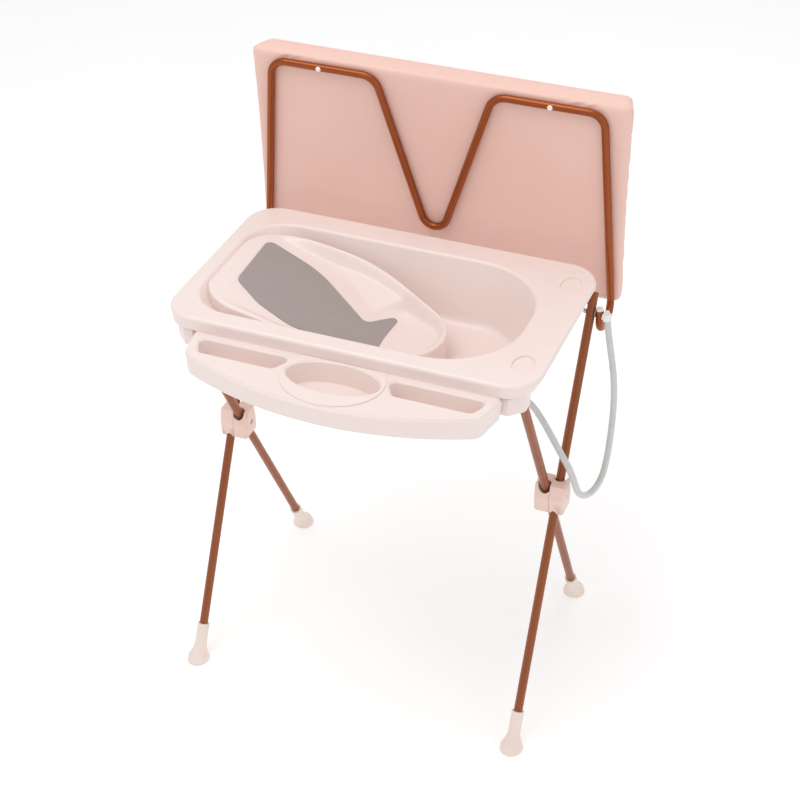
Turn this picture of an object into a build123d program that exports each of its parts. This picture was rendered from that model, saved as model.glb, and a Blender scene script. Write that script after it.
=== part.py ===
from build123d import *

import os
from math import atan2, cos, degrees, radians, sin, sqrt, tan

# Baby bath on a folding stand with a changing mat that closes over the tub.
# Millimetres. X runs along the tub, +Y points to the back, Z is up from the floor.
# The origin lies on the floor, midway between the tray's tip and the mat's back. Sizes and places
# are taken from the middle of the tub's rim, which lies a little behind that.

RIM_MIDDLE_Y = 10.0

# Tub rim and lip
TUB_LENGTH = 780.0
TUB_WIDTH = 470.0
RIM_HEIGHT = 940.0
RIM_CORNER = 70.0
RIM_ROUND = 8.0
LIP_DROP = 27.0
LIP_CORNER = 55.0
LIP_DRAFT = 10.0
RIM_BROW = 10.0
TUB_WALL = 3.0
CUT_OVER = 5.0

# Flat strips of rim around the basin's mouth, and how far each wall leans in
LEFT_STRIP = 35.0
RIGHT_STRIP = 83.0
FRONT_STRIP = 42.0
REAR_STRIP = 63.0
LEFT_LEAN = 120.0
RIGHT_LEAN = 45.0
FRONT_LEAN = 65.0
REAR_LEAN = 37.0
BASIN_DEPTH = 140.0
HEAD_CORNER = 90.0
FOOT_CORNER = 160.0
FLOOR_HEAD_CORNER = 60.0
FLOOR_FOOT_CORNER = 110.0
CORNER_CLEAR = 2.0
FLOOR_ROUND = 22.0
MOUTH_ROUND = 7.0

# Shallow soap dishes in the two right corners of the rim
DISH_LENGTH = 62.0
DISH_WIDTH = 44.0
DISH_DEPTH = 4.0
DISH_TAPER = 12.0
DISH_EDGE = 46.0
DISH_REACH = 84.0

# Moulded bath seat that stands in the basin
SEAT_GAP = 0.3
SEAT_WALL = 3.0
SEAT_HALF_WIDTH = 150.0
SEAT_SHOULDER_X = -70.0
SEAT_NOSE_X = 134.0
SEAT_NOSE_HALF = 52.0
SEAT_HEAD_ROUND = 85.0
SEAT_SHOULDER_ROUND = 150.0
SEAT_NOSE_ROUND = 48.0
SEAT_RIDGE_X = -230.0
SEAT_RIDGE_DROP = 4.0
SEAT_NOSE_DROP = 78.0
SEAT_FLOOR_X = 19.0
SEAT_FLOOR_DROP = 95.0
SEAT_HEAD_X = -310.0
SEAT_FLAT_HALF = 122.0
SEAT_SIDE_ANGLE = 55.0
SEAT_VENT = 60.0

# Non-slip sheet on the seat
GRIP_THICKNESS = 2.0
GRIP_HEAD_CLEAR = 6.0

# Accessory tray under the front rim
TRAY_X = 10.0
TRAY_HALF = 322.0
TRAY_SIDE = 72.0
TRAY_END_DRAFT = 14.0
TRAY_BOW = 145.0
TRAY_TOP_GAP = 2.0
TRAY_HEIGHT = 46.0
TRAY_LEAN = 5.0
TRAY_WALL = 2.5
TRAY_CORNER = 30.0
TRAY_EDGE = 6.0
TRAY_BACK_GAP = 1.0
TROUGH_START = 98.0
TROUGH_END = 303.0
TROUGH_BACK = 14.0
TROUGH_DEPTH = 40.0
TROUGH_WIDTH = 46.0
TROUGH_TAPER = 8.0
TROUGH_SLANT = 26.0
TROUGH_END_SLANT = 20.0
TROUGH_ROUND = 14.0
POCKET_EDGE = 3.5
CUP_LENGTH = 192.0
CUP_WIDTH = 98.0
CUP_DEPTH = 42.0
CUP_RING = 8.0
CUP_RING_RISE = 2.5
CUP_FRONT_RING = 40.0
LUG_FROM_SADDLE = 30.0
LUG_WIDTH = 40.0
LUG_THICKNESS = 3.0
LUG_RISE = 18.0
LUG_GAP = 0.3
LUG_FOOT = 15.0

# Stand: straight tubes that cross at the clips
LEG_TUBE = 19.0
LEG_WALL = 1.2
LEG_INSET = 12.0
LEG_GAP = 4.0
FRONT_FOOT_OUT = 2.0
REAR_FOOT_OUT = 59.0
INNER_TOP_INSET = 45.75
LEG_FLOOR_GAP = 9.0
OUTER_TOP_DROP = 47.0
INNER_TOP_DROP = 52.0
BAR_TUBE = 16.0
BAR_WALL = 1.2
FRONT_BAR_INSET = 22.0
FRONT_BAR_DROP = 60.0
REAR_BAR_DROP = 60.0
BAR_SHORT = 17.0
TUBE_CLEAR = 0.1

# Feet, clips and brackets
FOOT_HEIGHT = 76.0
FOOT_NECK = 27.0
FOOT_BASE = 49.0
FOOT_NECK_HEIGHT = 46.0
FOOT_SKIRT_HEIGHT = 8.0
CLIP_HALF_THICKNESS = 33.0
CLIP_GAP = 0.6
CLIP_WIDTH = 52.0
CLIP_HEIGHT = 68.0
CLIP_TOP_WIDTH = 40.0
CLIP_CREASE = 4.0
CLIP_ROUND = 7.0
PIN_DIAMETER = 6.0
PIN_CLEAR = 0.05
PIN_HEAD = 12.0
PIN_HEAD_HEIGHT = 2.8
PIN_NUT = 11.0
PIN_RECESS_CLEAR = 0.3
BRACKET_SLEEVE = 25.0
BRACKET_INWARD = 34.0
BRACKET_ARM = 19.0
BRACKET_WALL = 5.0
BRACKET_REACH = 64.0
BRACKET_HEIGHT = 42.0
BRACKET_LIP_GAP = 5.0
BRACKET_ROUND = 4.0

# Saddles under the rim that rest on the cross bars
SADDLE_FROM_LEG = 105.0
SADDLE_WIDTH = 30.0
SADDLE_DEPTH = 28.0
SADDLE_RISE = 1.0
SADDLE_CLEAR = 0.3

# Changing mat and its bent tube
MAT_TUBE = 16.0
MAT_TUBE_WALL = 1.2
HINGE_DROP = 80.0
HINGE_INSET = 44.5
HINGE_GAP = 1.6
MAT_REST_GAP = 0.8
MAT_LEAN = 2.0
MAT_HOOK_DROP = 50.0
MAT_TIP_RISE = 9.0
MAT_TOP_RISE = 404.0
MAT_TOP_HALF = 360.0
MAT_V_TOP_HALF = 128.0
MAT_V_POINT_RISE = 8.0
MAT_HOOK_BEND = 34.0
MAT_CORNER_BEND = 35.0
MAT_V_TOP_BEND = 40.0
MAT_V_BEND = 29.0
BOARD_GAP = 0.3
BOARD_THICKNESS = 6.0
BOARD_MARGIN = 22.0
PAD_HALF = 415.0
PAD_BOTTOM = -31.0
PAD_OVER_TUBE = 19.0
PAD_THICKNESS = 72.0
PAD_DRAW_IN = 5.0
PAD_EDGE = 9.0
PAD_CROWN_EDGE = 48.0
PAD_CROWN = 15.0
MAT_SCREW_PLACE = 250.0
MAT_SCREW = 4.0
MAT_SCREW_HEAD = 11.0
MAT_SCREW_HEAD_HEIGHT = 2.2
MAT_SCREW_BITE = 5.0
WASHER_DIAMETER = 18.0
WASHER_CLEAR = 0.3
STUD_DIAMETER = 8.0
STUD_LENGTH = 12.0
STUD_CAP = 12.0
STUD_CAP_HEIGHT = 2.5
CAP_HEIGHT = 5.0
PLUG_DEPTH = 10.0
NUT_HEIGHT = 5.0

# Tray screws
SMALL_SCREW = 3.8
SMALL_HEAD = 8.0
SMALL_HEAD_HEIGHT = 2.4
SMALL_BITE = 2.0
SMALL_CLEAR = 0.1

# Drain and hose
DRAIN_FROM_END = 37.0
DRAIN_BORE = 28.0
DRAIN_SPIGOT = 35.0
DRAIN_FLANGE = 46.0
DRAIN_FLANGE_HEIGHT = 3.0
DRAIN_SPIGOT_DROP = 14.0
DRAIN_HOLES = 6
DRAIN_HOLE = 5.0
DRAIN_HOLE_CIRCLE = 16.0
DRAIN_WASHER = 54.0
DRAIN_WASHER_HEIGHT = 3.0
DRAIN_NUT = 50.0
DRAIN_NUT_HEIGHT = 9.0
DRAIN_CLEAR = 0.2
ELBOW_HEIGHT = 24.0
NIPPLE = 17.0
NIPPLE_BORE = 9.0
HOSE = 14.0
HOSE_WALL = 2.0
HOSE_BEND_SHARE = 0.45
HOSE_POINTS = [
    (262, 0, 763), (292, 0, 756), (321, 1, 734), (342, 2, 703), (362, 4, 666), (382, 5, 628),
    (399, 8, 592), (407, 10, 562), (413, 14, 530), (419, 33, 507), (429, 60, 499), (439, 87, 507),
    (445, 106, 530), (449, 116, 575), (451, 125, 627), (451, 134, 678), (447, 144, 727),
    (438, 154, 774), (428, 163, 818), (419, 172, 858),
]
HOOK_THICKNESS = 8.0
HOOK_RING = 9.5
HOOK_COLLAR = 18.0
HOOK_COLLAR_LENGTH = 15.0
HOOK_CLEAR = 0.4
HOOK_SLOT_DROP = 14.0

# Places worked out from the sizes above
SIDES = {"left": -1, "right": 1}
LIP_BOTTOM = RIM_HEIGHT - LIP_DROP
RIM_UNDERSIDE = RIM_HEIGHT - TUB_WALL
FLOOR_TOP = RIM_HEIGHT - BASIN_DEPTH
FLOOR_UNDERSIDE = FLOOR_TOP - TUB_WALL
OUTER_LEG_X = TUB_LENGTH / 2 - LEG_INSET
INNER_LEG_X = OUTER_LEG_X - LEG_TUBE - LEG_GAP
CLIP_PLANE_X = (OUTER_LEG_X + INNER_LEG_X) / 2
SADDLE_PLACE = INNER_LEG_X - SADDLE_FROM_LEG
LUG_PLACES = (LUG_FROM_SADDLE - SADDLE_PLACE, 0, SADDLE_PLACE - LUG_FROM_SADDLE)
DRAIN_X = TUB_LENGTH / 2 - RIGHT_STRIP - RIGHT_LEAN - DRAIN_FROM_END
OUTER_LEG_TOP = RIM_HEIGHT - OUTER_TOP_DROP
INNER_LEG_TOP = RIM_HEIGHT - INNER_TOP_DROP
FRONT_FOOT_Y = -(TUB_WIDTH / 2 + FRONT_FOOT_OUT)
REAR_FOOT_Y = TUB_WIDTH / 2 + REAR_FOOT_OUT
INNER_TOP_Y = -(TUB_WIDTH / 2 - INNER_TOP_INSET)
HINGE_Y = TUB_WIDTH / 2 - HINGE_INSET
HINGE_Z = RIM_HEIGHT - HINGE_DROP
OUTER_SLOPE = (HINGE_Y - FRONT_FOOT_Y) / HINGE_Z
INNER_SLOPE = (INNER_TOP_Y - REAR_FOOT_Y) / INNER_LEG_TOP
CROSS_Z = (REAR_FOOT_Y - FRONT_FOOT_Y) / (OUTER_SLOPE - INNER_SLOPE)
CROSS_Y = FRONT_FOOT_Y + OUTER_SLOPE * CROSS_Z
FRONT_BAR_Y = -(TUB_WIDTH / 2 - FRONT_BAR_INSET)
FRONT_BAR_Z = RIM_HEIGHT - FRONT_BAR_DROP
REAR_BAR_Z = RIM_HEIGHT - REAR_BAR_DROP
REAR_BAR_Y = FRONT_FOOT_Y + OUTER_SLOPE * REAR_BAR_Z
HOOK_X = OUTER_LEG_X + LEG_TUBE / 2 + HINGE_GAP + MAT_TUBE / 2
MAT_PLANE = HINGE_DROP + MAT_TUBE / 2 + MAT_SCREW_HEAD_HEIGHT + MAT_REST_GAP
BASIN_Y = (FRONT_STRIP - REAR_STRIP) / 2
PAD_TOP = MAT_TOP_RISE + PAD_OVER_TUBE
PIN_HOLE = PIN_DIAMETER / 2 + PIN_CLEAR


def outer_leg_point(z):
    return Vector(OUTER_LEG_X, FRONT_FOOT_Y + OUTER_SLOPE * z, z)


def inner_leg_point(z):
    return Vector(INNER_LEG_X, REAR_FOOT_Y + INNER_SLOPE * z, z)


def on_side(side, point):
    return Vector(side * point.X, point.Y, point.Z)


def rod(start, end, diameter):
    """A round bar from one point to another."""
    start, end = Vector(start), Vector(end)
    return extrude(Plane(start, z_dir=end - start) * Circle(diameter / 2), (end - start).length)


def pipe(start, end, diameter, wall):
    return rod(start, end, diameter) - rod(start, end, diameter - 2 * wall)


def cross_rod(x_start, x_end, y, z, diameter):
    """A round bar along X."""
    return rod((x_start, y, z), (x_end, y, z), diameter)


def hex_nut(x_start, x_end, y, z, across, bore):
    plane = Plane((x_start, y, z), z_dir=(x_end - x_start, 0, 0))
    ring = plane * (RegularPolygon(across / 2, 6) - Circle(bore))
    return extrude(ring, abs(x_end - x_start))


def side_plane(x, y=0.0, z=0.0):
    """A plane square to X, whose own axes are Y and Z."""
    return Plane((x, y, z), x_dir=(0, 1, 0), z_dir=(1, 0, 0))


def front_plane(y, z=0.0):
    """A plane square to Y, whose own axes are X and Z."""
    return Plane((0, y, z), x_dir=(1, 0, 0), z_dir=(0, -1, 0))


def block(x_range, y_range, z_range):
    size = [high - low for low, high in (x_range, y_range, z_range)]
    centre = [(high + low) / 2 for low, high in (x_range, y_range, z_range)]
    return Pos(*centre) * Box(*size)


def save(name, *solids):
    whole = solids[0] if len(solids) == 1 else Compound(children=list(solids))
    whole = Pos(0, RIM_MIDDLE_Y, 0) * whole
    whole.label = name
    export_step(whole, f"parts/{name}.step")


os.makedirs("parts", exist_ok=True)


# Tub: rim plate with a turned-down lip, and a basin with one end round and deep.
def basin_outline(inset, floor):
    """The basin's plan at its mouth or at its floor, drawn in by an inset all round."""
    lean = 1 if floor else 0
    left = -TUB_LENGTH / 2 + LEFT_STRIP + lean * LEFT_LEAN + inset
    right = TUB_LENGTH / 2 - RIGHT_STRIP - lean * RIGHT_LEAN - inset
    front = -TUB_WIDTH / 2 + FRONT_STRIP + lean * FRONT_LEAN + inset
    rear = TUB_WIDTH / 2 - REAR_STRIP - lean * REAR_LEAN - inset
    limit = (rear - front) / 2 - CORNER_CLEAR
    head = min((FLOOR_HEAD_CORNER if floor else HEAD_CORNER) - inset, limit)
    foot = min((FLOOR_FOOT_CORNER if floor else FOOT_CORNER) - inset, limit)
    corners = [(left, front), (right, front), (right, rear), (left, rear)]
    return make_face(FilletPolyline(*corners, radius=[head, foot, foot, head], close=True))


def basin_space(inset):
    """The basin's room, with its rounded floor edge, drawn in by an inset."""
    mouth = Pos(0, 0, RIM_HEIGHT) * basin_outline(inset, False)
    floor = Pos(0, 0, FLOOR_TOP + inset) * basin_outline(inset, True)
    room = loft([mouth, floor], ruled=True)
    return fillet(room.faces().sort_by(Axis.Z)[0].edges(), FLOOR_ROUND - inset)


def soap_dish(side, grow, top):
    """One rim recess: an oval pocket beside the basin's round end, with leaning sides."""
    place = (TUB_LENGTH / 2 - DISH_EDGE, side * (TUB_WIDTH / 2 - DISH_REACH), 0)
    spread = tan(radians(DISH_TAPER))
    bottom = RIM_HEIGHT - DISH_DEPTH - grow
    ovals = []
    for z in (bottom, top):
        more = grow + (z - RIM_HEIGHT) * spread
        ovals.append(Pos(*place) * Pos(0, 0, z) * Ellipse(DISH_WIDTH / 2 + more, DISH_LENGTH / 2 + more))
    return loft(ovals, ruled=True)


def rim_form(inset):
    """The rim and lip as one block, drawn in by an inset, with ends that lean in downwards."""
    length, width = TUB_LENGTH - 2 * inset, TUB_WIDTH - 2 * inset
    low = Pos(0, 0, LIP_BOTTOM) * RectangleRounded(length - 2 * LIP_DRAFT, width, LIP_CORNER - inset)
    upper = RectangleRounded(length, width, RIM_CORNER - inset)
    brow, high = Pos(0, 0, RIM_HEIGHT - RIM_BROW) * upper, Pos(0, 0, RIM_HEIGHT - inset) * upper
    form = loft([low, brow, high], ruled=True)
    return fillet(form.faces().sort_by(Axis.Z)[-1].edges(), RIM_ROUND - inset)


mid_plate = RIM_HEIGHT - TUB_WALL / 2
below_plate = block((-TUB_LENGTH, TUB_LENGTH), (-TUB_WIDTH, TUB_WIDTH), (0, mid_plate))
tub_shell = rim_form(0) - rim_form(TUB_WALL) + (basin_space(-TUB_WALL) & below_plate)
for front_or_rear in (-1, 1):
    tub_shell += soap_dish(front_or_rear, TUB_WALL, mid_plate)
tub_shell -= basin_space(0) + extrude(Pos(0, 0, RIM_HEIGHT) * basin_outline(0, False), CUT_OVER)
for front_or_rear in (-1, 1):
    tub_shell -= soap_dish(front_or_rear, 0, RIM_HEIGHT + CUT_OVER)
mouth_box = basin_outline(-1, False).bounding_box()
mouth_edges = [
    edge for edge in tub_shell.edges()
    if edge.bounding_box().min.Z > RIM_HEIGHT - 0.01
    and mouth_box.min.X < edge.center().X < mouth_box.max.X
    and mouth_box.min.Y < edge.center().Y < mouth_box.max.Y
]
tub_shell = fillet(mouth_edges, MOUTH_ROUND)
tub_shell -= rod((DRAIN_X, 0, FLOOR_UNDERSIDE - CUT_OVER), (DRAIN_X, 0, FLOOR_TOP + CUT_OVER),
                 DRAIN_SPIGOT + 2 * DRAIN_CLEAR)

# Tray screws hold the tray's lugs to the inside of the lip.
lip_inside = -TUB_WIDTH / 2 + TUB_WALL
lug_front = lip_inside + LUG_GAP
lug_back = lug_front + LUG_THICKNESS
lug_z = LIP_BOTTOM + LUG_RISE / 2
for x in LUG_PLACES:
    tub_shell -= rod((x, lip_inside + CUT_OVER, lug_z), (x, lip_inside - SMALL_BITE - SMALL_CLEAR, lug_z),
                     SMALL_SCREW + 2 * SMALL_CLEAR)
save("tub_shell", tub_shell)


# Bath seat: a hollow moulding with a sloped, dished back and a rounded nose.
def seat_plan(inset):
    head = -TUB_LENGTH / 2 + LEFT_STRIP + inset
    wide = SEAT_HALF_WIDTH - inset
    corners = [(head, -wide), (SEAT_SHOULDER_X, -wide), (SEAT_NOSE_X - inset, -SEAT_NOSE_HALF)]
    corners += [(x, -y) for x, y in reversed(corners)]
    rounds = [SEAT_HEAD_ROUND, SEAT_SHOULDER_ROUND, SEAT_NOSE_ROUND]
    plan = make_face(FilletPolyline(*corners, radius=rounds + rounds[::-1], close=True))
    return Pos(0, BASIN_Y, 0) * plan


def seat_block(inset):
    """The seat's outside: its plan, its falling ridge and the basin's walls."""
    head = -TUB_LENGTH / 2
    ridge = RIM_HEIGHT - SEAT_RIDGE_DROP - inset
    nose = RIM_HEIGHT - SEAT_NOSE_DROP - inset
    side = Polyline(
        (head, FLOOR_TOP), (head, ridge), (SEAT_RIDGE_X, ridge), (SEAT_NOSE_X, nose),
        (SEAT_NOSE_X, FLOOR_TOP), close=True,
    )
    slab = extrude(front_plane(0) * make_face(side), SEAT_HALF_WIDTH * 2, both=True)
    column = extrude(Pos(0, 0, FLOOR_TOP) * seat_plan(inset), BASIN_DEPTH)
    return slab & column & basin_space(SEAT_GAP + inset)


def seat_dish(grow):
    """The hollow that the child lies in: a sloped back, a level end and leaning sides."""
    high = RIM_HEIGHT + BASIN_DEPTH
    low = RIM_HEIGHT - SEAT_FLOOR_DROP - grow
    fall = (SEAT_FLOOR_DROP) / (SEAT_FLOOR_X - SEAT_HEAD_X)
    head = SEAT_HEAD_X - BASIN_DEPTH
    toe = SEAT_NOSE_X - SEAT_NOSE_HALF / 4 + grow
    side = Polyline(
        (head, high), (head, low + fall * (SEAT_FLOOR_X - head)), (SEAT_FLOOR_X, low), (toe, low),
        (toe, high), close=True,
    )
    profile = make_face(side)
    flat = extrude(front_plane(BASIN_Y) * profile, SEAT_FLAT_HALF, both=True)
    reach = SEAT_HALF_WIDTH - SEAT_FLAT_HALF + grow
    slope = radians(SEAT_SIDE_ANGLE)
    for side_sign in (-1, 1):
        far = front_plane(BASIN_Y + side_sign * (SEAT_FLAT_HALF + reach), reach * tan(slope)) * profile
        near = front_plane(BASIN_Y + side_sign * SEAT_FLAT_HALF) * profile
        flat += loft([near, far], ruled=True)
    return flat


seat_inside = seat_block(SEAT_WALL) - seat_dish(SEAT_WALL)
vent = extrude(Pos(0, 0, FLOOR_TOP) * seat_plan(SEAT_VENT), SEAT_WALL * 4)
bath_seat = seat_block(0) - seat_dish(0) - seat_inside - (vent & seat_block(0))
save("bath_seat", bath_seat)

# Non-slip sheet: a plain grey whale outline lying on the seat's sloped back.
seat_slope = degrees(atan2(SEAT_FLOOR_DROP, SEAT_FLOOR_X - SEAT_HEAD_X))
grip_plane = Plane(
    (SEAT_HEAD_X, BASIN_Y, RIM_HEIGHT),
    x_dir=(cos(radians(seat_slope)), 0, -sin(radians(seat_slope))),
    z_dir=(sin(radians(seat_slope)), 0, cos(radians(seat_slope))),
)
GRIP_OUTLINE = [
    ((GRIP_HEAD_CLEAR, 106), 16), ((139, 82), 240), ((284, -8), 16), ((338, 64), 8), ((334, -20), 24),
    ((338, -104), 8), ((286, -84), 20), ((172, -120), 110), ((82, -97), 90), ((GRIP_HEAD_CLEAR + 6, -57), 24),
]
grip_face = make_face(
    FilletPolyline(*[p for p, r in GRIP_OUTLINE], radius=[r for p, r in GRIP_OUTLINE], close=True)
)
save("seat_grip_pad", extrude(grip_plane * grip_face, GRIP_THICKNESS))

# Accessory tray: a bow-fronted hollow moulding with two troughs and an oval cup.
tray_back = -TUB_WIDTH / 2 - TRAY_BACK_GAP
tray_top = LIP_BOTTOM - TRAY_TOP_GAP
tray_bottom = tray_top - TRAY_HEIGHT
cup_y = tray_back - CUP_WIDTH / 2 - TRAY_WALL


def tray_plan(inset, lean):
    half = TRAY_HALF - inset - lean
    front_half = half - TRAY_END_DRAFT
    back = tray_back - inset
    side = tray_back - TRAY_SIDE
    tip = tray_back - TRAY_BOW + inset + lean
    lines = [
        Line((-half, back), (half, back)),
        Line((half, back), (front_half, side)),
        ThreePointArc((front_half, side), (0, tip), (-front_half, side)),
        Line((-front_half, side), (-half, back)),
    ]
    plan = make_face(lines)
    front_corners = plan.vertices().group_by(Axis.Y)[0]
    return Pos(TRAY_X, 0, 0) * fillet(front_corners, TRAY_CORNER - inset - lean)


def tray_form(inset):
    """The tray's outside, or its inside when drawn in by the wall, open below."""
    top = tray_top - inset
    bottom = tray_bottom - inset
    levels = [(bottom, TRAY_LEAN), (top - TRAY_EDGE, 0), (top, TRAY_EDGE)]
    bow = loft([Pos(0, 0, z) * tray_plan(inset, lean) for z, lean in levels], ruled=True)
    long_half = CUP_LENGTH / 2 + CUP_RING - inset
    wide_half = CUP_WIDTH / 2 + CUP_FRONT_RING - inset
    ring = Pos(TRAY_X, cup_y, bottom) * Ellipse(long_half - TRAY_LEAN, wide_half - TRAY_LEAN)
    ring_top = Pos(TRAY_X, cup_y, top + CUP_RING_RISE) * Ellipse(long_half, wide_half)
    front_only = block((-TRAY_HALF, TRAY_HALF), (tray_back - 4 * TRAY_BOW, tray_back - inset),
                       (bottom - CUT_OVER, RIM_HEIGHT))
    return bow + (loft([ring, ring_top], ruled=True) & front_only)


def trough_plan(side, grow):
    near = tray_back - TROUGH_BACK + grow
    far = tray_back - TROUGH_BACK - TROUGH_WIDTH - grow
    corners = [
        (side * (TROUGH_START - grow), near), (side * (TROUGH_END + grow), near),
        (side * (TROUGH_END - TROUGH_END_SLANT + grow), far),
        (side * (TROUGH_START + TROUGH_SLANT - grow), far),
    ]
    return Pos(TRAY_X, 0, 0) * make_face(FilletPolyline(*corners, radius=TROUGH_ROUND + grow, close=True))


def cup_plan(grow):
    return Pos(TRAY_X, cup_y, 0) * Ellipse(CUP_LENGTH / 2 + grow, CUP_WIDTH / 2 + grow)


def tray_pockets(grow):
    """The two troughs and the cup with leaning sides, grown by the wall for their outsides."""
    plans = [(lambda more: trough_plan(-1, more), TROUGH_DEPTH, 0)]
    plans.append((lambda more: trough_plan(1, more), TROUGH_DEPTH, 0))
    plans.append((cup_plan, CUP_DEPTH, CUP_RING_RISE))
    lean = tan(radians(TROUGH_TAPER))
    solids = []
    for plan, depth, rise in plans:
        mouth = tray_top + rise
        low = Pos(0, 0, tray_top - depth - grow) * plan(grow - (depth + grow) * lean)
        if grow:
            levels = [low, Pos(0, 0, mouth - grow / 2) * plan(grow - lean * grow / 2)]
        else:
            shoulder = Pos(0, 0, mouth - POCKET_EDGE) * plan(-POCKET_EDGE * lean)
            levels = [low, shoulder, Pos(0, 0, mouth + CUT_OVER) * plan(POCKET_EDGE + CUT_OVER)]
        solids.append(loft(levels, ruled=True))
    return solids


tray = tray_form(0)
tray_skin = tray - tray_form(TRAY_WALL)
for pocket in tray_pockets(TRAY_WALL):
    tray_skin += pocket & tray
for pocket in tray_pockets(0):
    tray_skin -= pocket
for x in LUG_PLACES:
    across = (x - LUG_WIDTH / 2, x + LUG_WIDTH / 2)
    foot_low, foot_high = tray_top - LUG_FOOT * 2, tray_top - LUG_FOOT
    tray_skin += block(across, (lug_front, lug_back), (foot_low, LIP_BOTTOM + LUG_RISE))
    tray_skin += block(across, (tray_back - TRAY_WALL / 2, lug_back), (foot_low, foot_high))
    tray_skin -= rod((x, lug_front - CUT_OVER, lug_z), (x, lug_back + CUT_OVER, lug_z),
                     SMALL_SCREW + 2 * SMALL_CLEAR)
save("accessory_tray", tray_skin)

tray_screws = []
for x in LUG_PLACES:
    head_face = lug_back
    screw = rod((x, head_face, lug_z), (x, head_face + SMALL_HEAD_HEIGHT, lug_z), SMALL_HEAD)
    screw += rod((x, head_face, lug_z), (x, lip_inside - SMALL_BITE, lug_z), SMALL_SCREW)
    tray_screws.append(screw)
save("tray_screws", *tray_screws)


# Saddles: notched blocks under the rim that sit over the stand's two cross bars.
def saddle(side, bar_y, bar_z):
    across = (side * SADDLE_PLACE - SADDLE_WIDTH / 2, side * SADDLE_PLACE + SADDLE_WIDTH / 2)
    base = block(across, (bar_y - SADDLE_DEPTH / 2, bar_y + SADDLE_DEPTH / 2),
                 (bar_z + SADDLE_RISE, RIM_UNDERSIDE))
    peak = (BAR_TUBE / 2 + SADDLE_CLEAR) * sqrt(2)
    notch = Polyline(
        (bar_y, bar_z + peak), (bar_y - 3 * peak, bar_z - 2 * peak), (bar_y + 3 * peak, bar_z - 2 * peak),
        close=True,
    )
    return base - extrude(side_plane(side * SADDLE_PLACE) * make_face(notch), SADDLE_WIDTH, both=True)


for name, side in SIDES.items():
    save(f"front_saddle_{name}", saddle(side, FRONT_BAR_Y, FRONT_BAR_Z))
    save(f"rear_saddle_{name}", saddle(side, REAR_BAR_Y, REAR_BAR_Z))

# Drain: a flanged strainer through the floor, clamped by a washer and nut, and an elbow.
spigot_bottom = FLOOR_UNDERSIDE - DRAIN_SPIGOT_DROP
strainer = rod((DRAIN_X, 0, FLOOR_TOP), (DRAIN_X, 0, FLOOR_TOP + DRAIN_FLANGE_HEIGHT), DRAIN_FLANGE)
strainer = fillet(strainer.faces().sort_by(Axis.Z)[-1].edges(), DRAIN_FLANGE_HEIGHT / 2)
strainer += pipe((DRAIN_X, 0, FLOOR_TOP), (DRAIN_X, 0, spigot_bottom), DRAIN_SPIGOT,
                 (DRAIN_SPIGOT - DRAIN_BORE) / 2)
with_holes = PolarLocations(DRAIN_HOLE_CIRCLE / 2, DRAIN_HOLES)
for place in with_holes:
    spot = place.position
    strainer -= rod(
        (DRAIN_X + spot.X, spot.Y, FLOOR_TOP - CUT_OVER),
        (DRAIN_X + spot.X, spot.Y, FLOOR_TOP + DRAIN_FLANGE_HEIGHT + CUT_OVER),
        DRAIN_HOLE,
    )
save("drain_strainer", strainer)

washer_bottom = FLOOR_UNDERSIDE - DRAIN_WASHER_HEIGHT
ring_wall = (DRAIN_WASHER - DRAIN_SPIGOT) / 2 - DRAIN_CLEAR
drain_washer = pipe((DRAIN_X, 0, FLOOR_UNDERSIDE), (DRAIN_X, 0, washer_bottom), DRAIN_WASHER, ring_wall)
save("drain_washer", drain_washer)
nut_plan = RegularPolygon(DRAIN_NUT / 2, 8) - Circle(DRAIN_SPIGOT / 2 + DRAIN_CLEAR)
save("drain_nut", extrude(Pos(DRAIN_X, 0, washer_bottom) * nut_plan, -DRAIN_NUT_HEIGHT))

hose_start, hose_next = Vector(HOSE_POINTS[0]), Vector(HOSE_POINTS[1])
hose_lead = (hose_next - hose_start).normalized()
elbow_heart = hose_start - hose_lead * ((hose_start.X - DRAIN_X) / hose_lead.X)
elbow = rod((DRAIN_X, 0, spigot_bottom), (DRAIN_X, 0, spigot_bottom - ELBOW_HEIGHT), DRAIN_SPIGOT)
elbow = fillet(elbow.faces().sort_by(Axis.Z)[0].edges(), ELBOW_HEIGHT / 3)
elbow += rod(elbow_heart, hose_start, NIPPLE)
elbow -= rod((DRAIN_X, 0, spigot_bottom), (DRAIN_X, 0, spigot_bottom - ELBOW_HEIGHT + TUB_WALL), DRAIN_BORE)
elbow -= rod(elbow_heart, hose_start, NIPPLE_BORE)
save("drain_elbow", elbow)


# Drain hose: straight runs joined by arcs as large as the runs allow.
def route_radii(points):
    radii = []
    for before, corner, after in zip(points, points[1:], points[2:]):
        leg_in, leg_out = Vector(corner) - Vector(before), Vector(after) - Vector(corner)
        half_turn = radians(leg_in.get_angle(leg_out)) / 2
        radii.append(HOSE_BEND_SHARE * min(leg_in.length, leg_out.length) / tan(half_turn))
    return radii


def swept_tube(points, radii, diameter, wall):
    path = FilletPolyline(*points, radius=radii)
    plane = Plane(path @ 0, z_dir=path % 0)
    return sweep(plane * (Circle(diameter / 2) - Circle(diameter / 2 - wall)), path=path), path


hose_radii = route_radii(HOSE_POINTS)
drain_hose, hose_path = swept_tube(HOSE_POINTS, hose_radii, HOSE, HOSE_WALL)
hose_section = Circle(HOSE / 2).area - Circle(HOSE / 2 - HOSE_WALL).area
print("hose radii", [round(r) for r in hose_radii])
print("hose length", round(hose_path.length, 1), "volume / section x length",
      round(drain_hose.volume / (hose_section * hose_path.length), 5))
save("drain_hose", drain_hose)

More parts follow.
